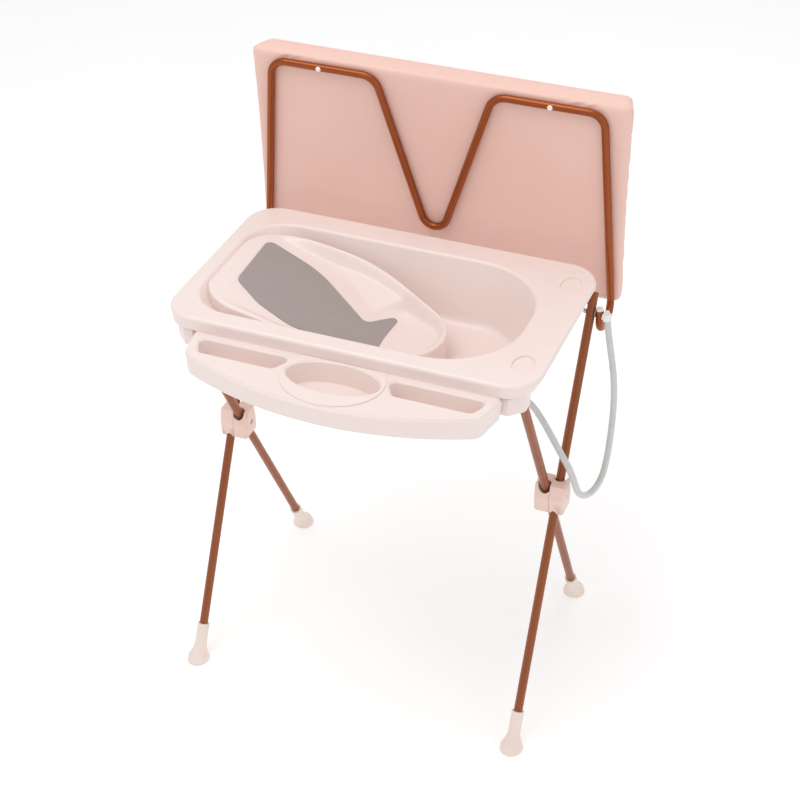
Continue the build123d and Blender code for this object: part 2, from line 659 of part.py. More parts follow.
# Hose hook: a collar on the hose's end with an arm that hangs on the right hinge stud.
hose_end = Vector(HOSE_POINTS[-1])
end_way = (hose_end - Vector(HOSE_POINTS[-2])).normalized()
collar_top = hose_end + end_way * HOOK_COLLAR_LENGTH
stud_start = HOOK_X + MAT_TUBE / 2 + HOOK_CLEAR
hook_x = (stud_start + (STUD_LENGTH - HOOK_THICKNESS) / 2, stud_start + (STUD_LENGTH + HOOK_THICKNESS) / 2)
arm_end = collar_top - end_way * (HOOK_COLLAR_LENGTH / 2)
arm_plan = make_hull(
    (Pos(HINGE_Y, HINGE_Z) * Circle(HOOK_RING)).edges()
    + (Pos(arm_end.Y, arm_end.Z) * Circle(HOOK_COLLAR_LENGTH / 2 - 1)).edges()
)
hose_hook = extrude(side_plane(hook_x[0]) * arm_plan, HOOK_THICKNESS)
hose_hook += rod(hose_end, collar_top, HOOK_COLLAR)
slot = STUD_DIAMETER / 2 + HOOK_CLEAR
hose_hook -= cross_rod(hook_x[0] - CUT_OVER, hook_x[1] + CUT_OVER, HINGE_Y, HINGE_Z, 2 * slot)
hose_hook -= block((hook_x[0] - CUT_OVER, hook_x[1] + CUT_OVER), (HINGE_Y - slot, HINGE_Y + slot),
                   (HINGE_Z - HOOK_SLOT_DROP, HINGE_Z))
save("hose_hook", hose_hook)


# Stand: outer legs rise from the front feet to the back, inner legs cross them.
def leg(side, point_at, top):
    low = on_side(side, point_at(LEG_FLOOR_GAP))
    body = pipe(low, on_side(side, point_at(top)), LEG_TUBE, LEG_WALL)
    x = side * point_at(0).X
    return body - cross_rod(x - LEG_TUBE, x + LEG_TUBE, CROSS_Y, CROSS_Z, 2 * PIN_HOLE)


def foot(side, point_at):
    """A flared foot on the leg's axis, cut flat at the floor, with the leg's socket in it."""
    floor_point, axis_point = on_side(side, point_at(0)), on_side(side, point_at(FOOT_HEIGHT))
    axis = axis_point - floor_point
    top, neck, base = axis.length, FOOT_NECK / 2, FOOT_BASE / 2
    waist = Vector((neck + base) / 2 - (base - neck) / 5, FOOT_NECK_HEIGHT / 2)
    outline = [
        Line((0, -base), (base, -base)),
        Line((base, -base), (base, FOOT_SKIRT_HEIGHT)),
        ThreePointArc((base, FOOT_SKIRT_HEIGHT), (waist.X, waist.Y), (neck, FOOT_NECK_HEIGHT)),
        Line((neck, FOOT_NECK_HEIGHT), (neck, top)),
        Line((neck, top), (0, top)),
        Line((0, top), (0, -base)),
    ]
    shape = revolve(Plane.XZ * make_face(outline), Axis.Z)
    shape = Plane(floor_point, z_dir=axis) * shape
    shape -= rod(on_side(side, point_at(LEG_FLOOR_GAP)), axis_point + axis, LEG_TUBE + 2 * TUBE_CLEAR)
    below = block((floor_point.X - FOOT_BASE, floor_point.X + FOOT_BASE),
                  (floor_point.Y - FOOT_BASE, floor_point.Y + FOOT_BASE), (-FOOT_BASE, 0))
    return shape - below


def clip_half(side, point_at, inner):
    """Half of a crossing clip: a creased block with the bore of one leg and of the pin."""
    low, wide, top, crease = -CLIP_HEIGHT / 2, CLIP_WIDTH / 2, CLIP_TOP_WIDTH / 2, CLIP_CREASE / 2
    right = [(wide - crease, low), (wide, crease), (top, -low)]
    profile = make_face(Polyline(*right, *[(-y, z) for y, z in reversed(right)], close=True))
    face = CLIP_PLANE_X + (-1 if inner else 1) * CLIP_GAP / 2
    away = -1 if inner else 1
    half = extrude(side_plane(face, CROSS_Y, CROSS_Z) * profile, away * CLIP_HALF_THICKNESS)
    far = face + away * CLIP_HALF_THICKNESS
    outside = half.faces().sort_by(Axis.X)[0 if inner else -1]
    half = fillet(outside.edges(), CLIP_ROUND)
    half -= rod(point_at(0), point_at(2 * CROSS_Z), LEG_TUBE + 2 * TUBE_CLEAR)
    half -= cross_rod(face, far, CROSS_Y, CROSS_Z, 2 * PIN_HOLE)
    recess = PIN_HEAD / 2 + PIN_RECESS_CLEAR
    half -= cross_rod(far - away * (PIN_HEAD_HEIGHT + 1), far, CROSS_Y, CROSS_Z, 2 * recess)
    return half if side > 0 else mirror(half, Plane.YZ)


clip_outside = CLIP_PLANE_X + CLIP_GAP / 2 + CLIP_HALF_THICKNESS
clip_inside = CLIP_PLANE_X - CLIP_GAP / 2 - CLIP_HALF_THICKNESS
hinge_hole = cross_rod(-TUB_LENGTH, TUB_LENGTH, HINGE_Y, HINGE_Z, 2 * PIN_HOLE)
outer_legs = {}
for name, side in SIDES.items():
    outer_legs[name] = leg(side, outer_leg_point, OUTER_LEG_TOP)
    save(f"outer_leg_{name}", outer_legs[name] - hinge_hole)
    save(f"front_foot_{name}", foot(side, outer_leg_point))
    save(f"pivot_clip_outer_{name}", clip_half(side, outer_leg_point, False))
    save(f"inner_leg_{name}", leg(side, inner_leg_point, INNER_LEG_TOP))
    save(f"rear_foot_{name}", foot(side, inner_leg_point))
    save(f"pivot_clip_inner_{name}", clip_half(side, inner_leg_point, True))

# Rear cross bar: coped at both ends and welded between the outer legs.
rear_bar = cross_rod(-OUTER_LEG_X, OUTER_LEG_X, REAR_BAR_Y, REAR_BAR_Z, BAR_TUBE)
rear_bar -= cross_rod(-OUTER_LEG_X, OUTER_LEG_X, REAR_BAR_Y, REAR_BAR_Z, BAR_TUBE - 2 * BAR_WALL)
for side in SIDES.values():
    rear_bar -= rod(on_side(side, outer_leg_point(0)), on_side(side, outer_leg_point(RIM_HEIGHT)), LEG_TUBE)
save("rear_cross_bar", rear_bar)

# Front corner brackets join the inner legs to the front cross bar.
bracket_top = LIP_BOTTOM - BRACKET_LIP_GAP
bracket_bottom = bracket_top - BRACKET_HEIGHT
bracket_front = FRONT_BAR_Y - BAR_TUBE / 2 - BRACKET_WALL
bracket_back = bracket_front + BRACKET_REACH
bar_end = INNER_LEG_X - BAR_SHORT
front_bar = cross_rod(-bar_end, bar_end, FRONT_BAR_Y, FRONT_BAR_Z, BAR_TUBE)
front_bar -= cross_rod(-bar_end, bar_end, FRONT_BAR_Y, FRONT_BAR_Z, BAR_TUBE - 2 * BAR_WALL)
save("front_cross_bar", front_bar)
sleeve = Circle(BRACKET_SLEEVE / 2)
arm_middle = (INNER_LEG_X - BRACKET_INWARD + BRACKET_ARM / 2, (bracket_front + bracket_back) / 2)
bracket_plan = make_hull(
    (Pos(INNER_LEG_X, bracket_back - BRACKET_SLEEVE / 2) * sleeve).edges()
    + (Pos(INNER_LEG_X, inner_leg_point(INNER_LEG_TOP).Y - BRACKET_WALL) * sleeve).edges()
    + (Pos(*arm_middle) * Rectangle(BRACKET_ARM, BRACKET_REACH)).edges()
)
for name, side in SIDES.items():
    bracket = extrude(Pos(0, 0, bracket_bottom) * bracket_plan, BRACKET_HEIGHT)
    ends = bracket.faces().sort_by(Axis.Z)
    bracket = fillet(ends[0].edges() + ends[-1].edges(), BRACKET_ROUND)
    bracket -= rod(inner_leg_point(CROSS_Z), inner_leg_point(INNER_LEG_TOP + TUBE_CLEAR),
                   LEG_TUBE + 2 * TUBE_CLEAR)
    bracket -= cross_rod(0, bar_end + TUBE_CLEAR, FRONT_BAR_Y, FRONT_BAR_Z, BAR_TUBE + 2 * TUBE_CLEAR)
    save(f"front_corner_bracket_{name}", bracket if side > 0 else mirror(bracket, Plane.YZ))

# Crossing pins, their nuts, and the plugs in the outer legs' tops
pins, pin_nuts, leg_plugs = [], [], []
for side in SIDES.values():
    head_start = side * (clip_outside - PIN_HEAD_HEIGHT)
    pin = cross_rod(side * (clip_inside + 1), head_start, CROSS_Y, CROSS_Z, PIN_DIAMETER)
    pin += cross_rod(head_start, side * clip_outside, CROSS_Y, CROSS_Z, PIN_HEAD)
    pins.append(pin)
    nut_start = side * (clip_inside + 0.5)
    nut_end = nut_start + side * PIN_HEAD_HEIGHT
    pin_nuts.append(hex_nut(nut_start, nut_end, CROSS_Y, CROSS_Z, PIN_NUT, PIN_HOLE))
    leg_top = on_side(side, outer_leg_point(OUTER_LEG_TOP))
    leg_way = (leg_top - on_side(side, outer_leg_point(0))).normalized()
    plug = rod(leg_top, leg_top + leg_way * CAP_HEIGHT, LEG_TUBE)
    plug = fillet(plug.edges().sort_by(Axis.Z)[-1:], CAP_HEIGHT / 2)
    plug += rod(leg_top, leg_top - leg_way * PLUG_DEPTH, LEG_TUBE - 2 * LEG_WALL - 2 * TUBE_CLEAR)
    leg_plugs.append(plug)
save("leg_pivot_pins", *pins)
save("leg_pivot_nuts", *pin_nuts)
save("leg_top_plugs", *leg_plugs)

# Mat hinge: a bolt through each outer leg, a washer, and a stud that can carry the hose.
bolts, hinge_nuts, washers = [], [], []
for side in SIDES.values():
    leg_inside = OUTER_LEG_X - LEG_TUBE / 2
    leg_outside = OUTER_LEG_X + LEG_TUBE / 2
    bolt = cross_rod(side * (leg_inside - NUT_HEIGHT - 1), side * stud_start, HINGE_Y, HINGE_Z, PIN_DIAMETER)
    stud_end = stud_start + STUD_LENGTH
    bolt += cross_rod(side * stud_start, side * stud_end, HINGE_Y, HINGE_Z, STUD_DIAMETER)
    bolt += cross_rod(side * stud_end, side * (stud_end + STUD_CAP_HEIGHT), HINGE_Y, HINGE_Z, STUD_CAP)
    bolts.append(bolt)
    nut_start, nut_end = side * leg_inside, side * (leg_inside - NUT_HEIGHT)
    hinge_nuts.append(hex_nut(nut_start, nut_end, HINGE_Y, HINGE_Z, PIN_NUT, PIN_HOLE))
    washer_plan = Circle(WASHER_DIAMETER / 2) - Circle(PIN_HOLE)
    plane = Plane((side * (leg_outside + WASHER_CLEAR / 3), HINGE_Y, HINGE_Z), z_dir=(side, 0, 0))
    washers.append(extrude(plane * washer_plan, HINGE_GAP - WASHER_CLEAR * 4 / 3))
save("mat_hinge_bolts", *bolts)
save("mat_hinge_nuts", *hinge_nuts)
save("mat_hinge_washers", *washers)

# Changing mat, drawn upright about its hinge axis and leant forward into place
mat_place = Pos(0, HINGE_Y, HINGE_Z) * Rot(MAT_LEAN, 0, 0)
right_route = [
    (HOOK_X, 0, MAT_TIP_RISE), (HOOK_X, 0, -MAT_HOOK_DROP), (HOOK_X, MAT_PLANE, -MAT_HOOK_DROP),
    (MAT_TOP_HALF, MAT_PLANE, MAT_TOP_RISE), (MAT_V_TOP_HALF, MAT_PLANE, MAT_TOP_RISE),
]
mat_route = right_route + [(0, MAT_PLANE, MAT_V_POINT_RISE)]
mat_route += [(-x, y, z) for x, y, z in reversed(right_route)]
right_bends = [MAT_HOOK_BEND, MAT_HOOK_BEND, MAT_CORNER_BEND, MAT_V_TOP_BEND]
mat_bends = right_bends + [MAT_V_BEND] + right_bends[::-1]
mat_frame, mat_path = swept_tube(mat_route, mat_bends, MAT_TUBE, MAT_TUBE_WALL)
mat_frame -= cross_rod(-TUB_LENGTH, TUB_LENGTH, 0, 0, 2 * PIN_HOLE)
tube_front = MAT_PLANE - MAT_TUBE / 2
board_front = MAT_PLANE + MAT_TUBE / 2 + BOARD_GAP
board_back = board_front + BOARD_THICKNESS
screw_holes = [
    rod((side * MAT_SCREW_PLACE, 0, MAT_TOP_RISE), (side * MAT_SCREW_PLACE, 2 * MAT_PLANE, MAT_TOP_RISE),
        MAT_SCREW + 2 * TUBE_CLEAR)
    for side in SIDES.values()
]
board = block((-PAD_HALF + BOARD_MARGIN, PAD_HALF - BOARD_MARGIN), (board_front, board_back),
              (PAD_BOTTOM + BOARD_MARGIN, PAD_TOP - BOARD_MARGIN / 2))
for hole in screw_holes:
    mat_frame -= hole
    board -= hole
print("mat tube volume / section x length",
      round(mat_frame.volume / ((Circle(MAT_TUBE / 2).area - Circle(MAT_TUBE / 2 - MAT_TUBE_WALL).area)
                                * mat_path.length), 5))
save("mat_frame", mat_place * mat_frame)
save("mat_board", mat_place * board)


def pad_section(depth, inset):
    """The pad's outline at one depth: four sides that pull in between the corners."""
    half, low, high = PAD_HALF - inset, PAD_BOTTOM + inset, PAD_TOP - inset
    middle = (low + high) / 2
    corners = [(-half, low), (half, low), (half, high), (-half, high)]
    waists = [(0, low + PAD_DRAW_IN), (half - PAD_DRAW_IN, middle),
              (0, high - PAD_DRAW_IN), (-half + PAD_DRAW_IN, middle)]
    sides = [ThreePointArc(corners[i], waists[i], corners[(i + 1) % 4]) for i in range(4)]
    return Plane((0, depth, 0), x_dir=(1, 0, 0), z_dir=(0, -1, 0)) * make_face(sides)


pad_back = board_front + PAD_THICKNESS
pad = loft([
    pad_section(board_front, PAD_EDGE),
    pad_section(board_front + PAD_EDGE, 0),
    pad_section(pad_back - PAD_CROWN, 0),
    pad_section(pad_back, PAD_CROWN_EDGE),
], ruled=True)
pocket = block((-PAD_HALF + BOARD_MARGIN - SEAT_GAP, PAD_HALF - BOARD_MARGIN + SEAT_GAP),
               (board_front - CUT_OVER, board_back + SEAT_GAP),
               (PAD_BOTTOM + BOARD_MARGIN - SEAT_GAP, PAD_TOP - BOARD_MARGIN / 2 + SEAT_GAP))
save("mat_pad", mat_place * (pad - pocket))

mat_screws, mat_caps = [], []
for side in SIDES.values():
    x = side * MAT_SCREW_PLACE
    head_front = tube_front - MAT_SCREW_HEAD_HEIGHT
    head = rod((x, tube_front, MAT_TOP_RISE), (x, head_front, MAT_TOP_RISE), MAT_SCREW_HEAD)
    head = fillet(head.faces().sort_by(Axis.Y)[0].edges(), MAT_SCREW_HEAD_HEIGHT * 0.6)
    shank = rod((x, tube_front, MAT_TOP_RISE), (x, board_front + MAT_SCREW_BITE, MAT_TOP_RISE), MAT_SCREW)
    mat_screws.append(mat_place * (head + shank))
    tip, cap_x = MAT_TIP_RISE, side * HOOK_X
    cap = rod((cap_x, 0, tip), (cap_x, 0, tip + CAP_HEIGHT), MAT_TUBE)
    cap = fillet(cap.edges().sort_by(Axis.Z)[-1:], CAP_HEIGHT / 2)
    cap += rod((cap_x, 0, tip), (cap_x, 0, tip - PIN_DIAMETER / 2),
               MAT_TUBE - 2 * MAT_TUBE_WALL - 2 * TUBE_CLEAR)
    mat_caps.append(mat_place * cap)
save("mat_screws", *mat_screws)
save("mat_end_caps", *mat_caps)
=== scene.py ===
from math import cos, exp, pi, radians, sin, sqrt

import bpy
from mathutils import Matrix, Vector


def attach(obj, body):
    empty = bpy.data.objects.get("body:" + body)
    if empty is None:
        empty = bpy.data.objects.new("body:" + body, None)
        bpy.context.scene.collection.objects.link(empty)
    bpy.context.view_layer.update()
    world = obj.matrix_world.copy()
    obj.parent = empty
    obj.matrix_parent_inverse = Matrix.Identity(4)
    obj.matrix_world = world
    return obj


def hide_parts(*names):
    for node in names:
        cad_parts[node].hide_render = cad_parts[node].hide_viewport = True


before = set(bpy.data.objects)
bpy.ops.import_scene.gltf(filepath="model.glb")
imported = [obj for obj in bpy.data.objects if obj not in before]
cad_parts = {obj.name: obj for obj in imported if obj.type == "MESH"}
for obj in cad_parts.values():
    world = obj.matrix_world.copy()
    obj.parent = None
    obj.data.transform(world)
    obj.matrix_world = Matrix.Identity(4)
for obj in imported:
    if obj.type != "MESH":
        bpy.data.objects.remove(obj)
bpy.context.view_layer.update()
bpy.ops.object.select_all(action="DESELECT")

# Studio: a white sweep of floor under soft overhead light, and a long lens looking down
# on the tub from its front right, as on a shop photograph.
RIM_MIDDLE = 0.010
CAMERA_TURN, CAMERA_RISE, CAMERA_ROLL = radians(22.2), radians(35.7), radians(-0.6)
CAMERA_REACH = 3.6501
CAMERA_AIM = Vector((0.0302, RIM_MIDDLE, 0.6743))
LENS = 78.36
FILM_WIDTH, SIGHT = 36, 50
DAYLIGHT = 0.73
FLOOR_SIZE, FLOOR_DROP, FLOOR_GLOW = 30, 0.0005, 0.16

backward = Vector((sin(CAMERA_TURN) * cos(CAMERA_RISE),
                   -cos(CAMERA_TURN) * cos(CAMERA_RISE),
                   sin(CAMERA_RISE)))
level = Vector((cos(CAMERA_TURN), sin(CAMERA_TURN), 0))
upward = backward.cross(level)
rightward = level * cos(CAMERA_ROLL) + upward * sin(CAMERA_ROLL)
upward = upward * cos(CAMERA_ROLL) - level * sin(CAMERA_ROLL)
camera = bpy.data.objects.new("camera", bpy.data.cameras.new("camera"))
camera.data.lens = LENS
camera.data.sensor_width = FILM_WIDTH
camera.data.clip_end = SIGHT
camera.location = CAMERA_AIM + backward * CAMERA_REACH
camera.rotation_euler = Matrix((rightward, upward, backward)).transposed().to_euler()
bpy.context.scene.collection.objects.link(camera)
bpy.context.scene.camera = camera
bpy.context.scene.view_settings.view_transform = "Standard"
bpy.context.scene.view_settings.look = "None"


class Value:
    """A number or colour on its way through a material's nodes; arithmetic adds Math nodes."""

    def __init__(self, finish, socket):
        self.finish, self.socket = finish, socket

    def maths(self, operation, first, second):
        return self.finish.node("ShaderNodeMath", {"operation": operation}, {0: first, 1: second})

    def __add__(self, other):
        return self.maths("ADD", self, other)

    __radd__ = __add__

    def __mul__(self, other):
        return self.maths("MULTIPLY", self, other)

    __rmul__ = __mul__


class Finish:
    """One material and its nodes, painted by place on the object."""

    def __init__(self, name, **shader):
        self.material = bpy.data.materials.new(name)
        self.material.use_nodes = True
        self.tree = self.material.node_tree
        self.shader = self.tree.nodes["Principled BSDF"]
        for socket, value in shader.items():
            self.shader.inputs[socket.replace("_", " ")].default_value = value

    def node(self, kind, settings, sockets, output=0):
        node = self.tree.nodes.new(kind)
        for key, value in settings.items():
            setattr(node, key, value)
        for key, value in sockets.items():
            self.feed(node.inputs[key], value)
        return Value(self, node.outputs[output])

    def feed(self, socket, value):
        if isinstance(value, Value):
            self.tree.links.new(value.socket, socket)
        else:
            socket.default_value = value

    def place(self):
        return self.node("ShaderNodeTexCoord", {}, {}, "Object")

    def noise(self, scale, detail=2.0, roughness=0.5, stretch=(1, 1, 1)):
        where = self.node("ShaderNodeMapping", {}, {"Vector": self.place(), "Scale": stretch})
        return self.node("ShaderNodeTexNoise", {}, {"Vector": where, "Scale": scale, "Detail": detail,
                                                    "Roughness": roughness})

    def mix(self, share, first, second):
        return self.node("ShaderNodeMix", {"data_type": "RGBA"}, {0: share, 6: first, 7: second}, 2)

    def between(self, value, low, high, to_low=0.0, to_high=1.0):
        return self.node("ShaderNodeMapRange", {}, {0: value, 1: low, 2: high, 3: to_low, 4: to_high})

    def paint(self, colour=None, roughness=None, height=None, depth=0.001, strength=1.0):
        for socket, value in (("Base Color", colour), ("Roughness", roughness)):
            if value is not None:
                self.feed(self.shader.inputs[socket], value)
        if height is not None:
            bump = self.node("ShaderNodeBump", {}, {"Height": height, "Distance": depth,
                                                    "Strength": strength})
            self.feed(self.shader.inputs["Normal"], bump)
        return self.material


def shade(red, green, blue):
    """A colour as a paint card gives it, 0 to 255, in the renderer's linear light."""
    parts = [part / 255 for part in (red, green, blue)]
    return tuple(part / 12.92 if part <= 0.04 else ((part + 0.055) / 1.055) ** 2.4 for part in parts) + (1,)


floor_paint = Finish("studio_floor", Roughness=0.9, Emission_Color=(1, 1, 1, 1),
                     Emission_Strength=FLOOR_GLOW)
speck = floor_paint.noise(3.0)
floor_paint.paint(colour=floor_paint.mix(speck, shade(252, 252, 252), shade(255, 255, 255)))
bpy.ops.mesh.primitive_plane_add(size=FLOOR_SIZE, location=(0, 0, -FLOOR_DROP))
floor = bpy.context.object
floor.name = "studio_floor"
floor.data.materials.append(floor_paint.material)
bpy.ops.object.select_all(action="DESELECT")

world = bpy.data.worlds.new("studio_light")
bpy.context.scene.world = world
world.use_nodes = True
world.node_tree.nodes["Background"].inputs["Color"].default_value = (1, 1, 1, 1)
world.node_tree.nodes["Background"].inputs["Strength"].default_value = DAYLIGHT
for name, place, aim, size, power in (
    ("key_light", (-0.7, -0.8, 4.0), (0, 0, 0.8), 2.2, 38),
    ("fill_light", (2.8, -1.4, 2.6), (0, 0, 0.7), 2.0, 8),
    ("back_light", (0.6, 2.6, 3.2), (0, 0, 0.9), 2.0, 10),
):
    light = bpy.data.objects.new(name, bpy.data.lights.new(name, "AREA"))
    light.data.size = size
    light.data.energy = power
    light.location = place
    light.rotation_euler = (Vector(place) - Vector(aim)).to_track_quat("Z", "Y").to_euler()
    bpy.context.scene.collection.objects.link(light)

# Stand tubes: two pairs of straight steel legs and the two cross bars that the tub sits on,
# drawn tube sprayed in a copper-coloured lacquer, with faint cloudiness in the spray.


def dress(material, *nodes):
    """Gives CAD nodes their material."""
    for node in nodes:
        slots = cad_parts[node].data.materials
        slots.clear()
        slots.append(material)


copper = Finish("copper_lacquer", Metallic=0.7, Roughness=0.34, Coat_Weight=0.12, Coat_Roughness=0.15)
flake = copper.noise(900, 2, 0.6)
cloud = copper.noise(14, 3)
copper.paint(
    colour=copper.mix(flake * 0.5 + cloud * 0.5, shade(140, 78, 46), shade(160, 96, 62)),
    roughness=copper.between(cloud, 0.3, 0.7, 0.32, 0.44),
    height=flake, depth=0.0001, strength=0.4,
)
dress(copper.material, "outer_leg_left", "outer_leg_right", "inner_leg_left", "inner_leg_right",
      "rear_cross_bar", "front_cross_bar", "leg_top_plugs")

# Feet: flared sleeves moulded in a matt beige plastic and pushed on to the tube ends, with the
# fine scuffs that the floor leaves on them.
foot_pink = Finish("foot_plastic", Roughness=0.5)
cloud = foot_pink.noise(30, 3)
scuff = foot_pink.between(foot_pink.noise(160, 4, 0.7), 0.55, 0.75)
foot_pink.paint(
    colour=foot_pink.mix(scuff * 0.35, foot_pink.mix(cloud, shade(238, 221, 211), shade(243, 228, 219)),
                         shade(222, 205, 196)),
    roughness=foot_pink.between(cloud, 0.3, 0.7, 0.45, 0.58),
    height=foot_pink.noise(900, 1), depth=0.0002, strength=0.3,
)
dress(foot_pink.material, "front_foot_left", "front_foot_right", "rear_foot_left", "rear_foot_right")

# Crossing clips: pairs of moulded pink blocks, one on each tube, that turn on a steel pin. A block's
# bore holds its tube, and opens into a wider mouth where the tube leaves it upwards.
clip_pink = Finish("clip_pink_plastic", Roughness=0.4, Coat_Weight=0.1)
cloud = clip_pink.noise(30, 3)
clip_pink.paint(
    colour=clip_pink.mix(cloud, shade(236, 204, 190), shade(243, 214, 201)),
    roughness=clip_pink.between(cloud, 0.3, 0.7, 0.36, 0.46),
    height=clip_pink.noise(1200, 1), depth=0.0002, strength=0.3,
)
CROSSING = Vector((0, RIM_MIDDLE + 0.016489, 0.509943))
MOUTH_RADIUS, MOUTH_START, MOUTH_REACH, MOUTH_SIDES = 0.0145, 0.015, 0.050, 48
CLIP_MERGE, CLIP_FLAT, CLIP_CREASE = 0.000001, radians(0.5), radians(35)
for half, leg_place, leg_run in (("outer", 0.378, Vector((0, 0.4275, 0.860))),
                                 ("inner", 0.355, Vector((0, -0.48325, 0.888)))):
    for side, sign in (("left", -1), ("right", 1)):
        node = f"pivot_clip_{half}_{side}"
        clip = bpy.data.objects.new(f"crossing_clip_{half}_{side}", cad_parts[node].data.copy())
        bpy.context.scene.collection.objects.link(clip)
        middle = CROSSING + leg_run.normalized() * (MOUTH_START + MOUTH_REACH / 2)
        bpy.ops.mesh.primitive_cylinder_add(vertices=MOUTH_SIDES, radius=MOUTH_RADIUS, depth=MOUTH_REACH)
        mouth = bpy.context.object
        mouth.matrix_world = (Matrix.Translation((sign * leg_place, middle.y, middle.z))
                              @ leg_run.to_track_quat("Z", "Y").to_matrix().to_4x4())
        bpy.ops.object.select_all(action="DESELECT")
        clip.select_set(True)
        bpy.context.view_layer.objects.active = clip
        bpy.ops.object.mode_set(mode="EDIT")
        bpy.ops.mesh.select_all(action="SELECT")
        bpy.ops.mesh.remove_doubles(threshold=CLIP_MERGE)
        bpy.ops.object.mode_set(mode="OBJECT")
        cut = clip.modifiers.new("mouth", "BOOLEAN")
        cut.operation = "DIFFERENCE"
        cut.object = mouth
        bpy.ops.object.modifier_apply(modifier="mouth")
        bpy.data.objects.remove(mouth)
        bpy.ops.object.mode_set(mode="EDIT")
        bpy.ops.mesh.select_all(action="SELECT")
        bpy.ops.mesh.dissolve_limited(angle_limit=CLIP_FLAT)
        bpy.ops.object.mode_set(mode="OBJECT")
        bpy.ops.object.shade_smooth_by_angle(angle=CLIP_CREASE)
        flats = clip.modifiers.new("flats", "WEIGHTED_NORMAL")
        flats.keep_sharp = True
        bpy.ops.object.modifier_apply(modifier="flats")
        clip.data.materials.clear()
        clip.data.materials.append(clip_pink.material)
        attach(clip, f"{half}_legs")
        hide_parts(node)
        bpy.ops.object.select_all(action="DESELECT")

# Steel fixings: the crossing pins and their nuts, the mat's hinge bolts with their washers and nuts,
# and the tray's screws, turned from plain bright steel.
steel = Finish("plain_steel", Metallic=1.0, Roughness=0.35)
brush = steel.noise(200, 2, stretch=(1, 12, 12))
steel.paint(colour=steel.mix(brush, shade(170, 170, 172), shade(205, 205, 206)),
            roughness=steel.between(brush, 0.3, 0.7, 0.28, 0.42))
dress(steel.material, "leg_pivot_pins", "leg_pivot_nuts", "mat_hinge_bolts", "mat_hinge_nuts",
      "mat_hinge_washers", "tray_screws")

# Tub: rim, lip and basin moulded in one, in a pale pink plastic with a fine satin skin. The tray, the
# saddles under the rim and the stand's corner brackets are moulded in the same plastic.
shell_pink = Finish("pale_pink_plastic", Roughness=0.36, Coat_Weight=0.2, Coat_Roughness=0.25)
cloud = shell_pink.noise(9, 3)
skin = shell_pink.noise(1100, 1)
shell_pink.paint(
    colour=shell_pink.mix(cloud, shade(240, 222, 216), shade(243, 228, 223)),
    roughness=shell_pink.between(cloud, 0.3, 0.7, 0.32, 0.42),
    height=skin, depth=0.0002, strength=0.25,
)
dress(shell_pink.material, "tub_shell", "accessory_tray", "front_saddle_left", "front_saddle_right",
      "rear_saddle_left", "rear_saddle_right", "front_corner_bracket_left", "front_corner_bracket_right")

# Tray rib: the upstand along the tray's back edge, moulded with it, which closes the gap under
# the tub's front lip between the stand's two corner brackets.
RIB_ENDS, RIB_FRONT, RIB_THICKNESS = (-0.306, 0.326), RIM_MIDDLE - 0.2362, 0.0040
RIB_LOW, RIB_HIGH, RIB_ROUND = 0.8960, 0.9127, 0.0008
rib_middle = (sum(RIB_ENDS) / 2, RIB_FRONT + RIB_THICKNESS / 2, (RIB_LOW + RIB_HIGH) / 2)
bpy.ops.mesh.primitive_cube_add(size=1)
rib = bpy.context.object
rib.name = "tray_back_rib"
bpy.ops.object.mode_set(mode="EDIT")
bpy.ops.transform.resize(value=(RIB_ENDS[1] - RIB_ENDS[0], RIB_THICKNESS, RIB_HIGH - RIB_LOW))
bpy.ops.transform.translate(value=rib_middle)
bpy.ops.mesh.bevel(offset=RIB_ROUND, segments=3, affect="EDGES")
bpy.ops.object.mode_set(mode="OBJECT")
bpy.ops.object.shade_smooth_by_angle(angle=radians(40))
rib.data.materials.append(shell_pink.material)
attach(rib, "tub")
bpy.ops.object.select_all(action="DESELECT")

# Bath seat: a thin pale pink moulding that stands on the basin's walls. Its back slopes to a
# level end, a rounded crest runs round it, and a flat arm rest rises from the slope to the
# far crest. Its skirt follows the basin's walls down to where they meet.
SEAT_HEAD, SEAT_NOSE = -0.350, 0.134
SEAT_MIDDLE = RIM_MIDDLE - 0.0105
SEAT_HALF = 0.148
SEAT_SHOULDER, SEAT_NARROWING, SHOULDER_BLEND = -0.074, 0.48, 0.035
SEAT_HEAD_ROUND, SEAT_NOSE_ROUND = 0.085, 0.046
SEAT_FALL, SEAT_FALL_START, SEAT_SINK = 0.2888, -0.310, 0.0003
SEAT_TOP, TOP_BLEND = 0.9385, 0.002
SEAT_SHELF, SHELF_BLEND = 0.8447, 0.008
CREST_TOP, CREST_DROP, CREST_START, CREST_RUN, CREST_CURVE = 0.936, 0.074, -0.230, 0.364, 1.25
CREST_ROUND, CREST_WALL, CREST_TURN = 0.006, 0.024, 0.02
NEAR_WALL_SHARE, NEAR_WALL_REACH = 0.3, (-0.060, 0.020)
ARM_FOOT, ARM_CORNER = Vector((-0.132, 0.1095)), Vector((-0.027, 0.031))
ARM_TIP, ARM_END = Vector((0.036, 0.084)), (0.010, 0.024)
ARM_RISE, ARM_CREASE = 0.37, 0.005
SEAT_SKIN, SEAT_MERGE = 0.0025, 0.00005
SKIRT_START, SKIRT_TUCK = 0.001, 0.001
RIM_TOP, BASIN_DEPTH = 0.940, 0.140
BASIN_LEFT, BASIN_FRONT, BASIN_REAR = -0.355, RIM_MIDDLE - 0.193, RIM_MIDDLE + 0.172
LEFT_LEAN, FRONT_LEAN, REAR_LEAN = 0.120, 0.065, 0.037
HEAD_CORNER, HEAD_CORNER_LEAN = 0.090, 0.030
DEPTH_HALVINGS = 14


def soft_min(first, second, blend):
    """The smaller of two values, with a rounded change from one to the other."""
    share = max(0.0, min(1.0, 0.5 + (second - first) / (2 * blend)))
    return second + (first - second) * share - blend * share * (1 - share)


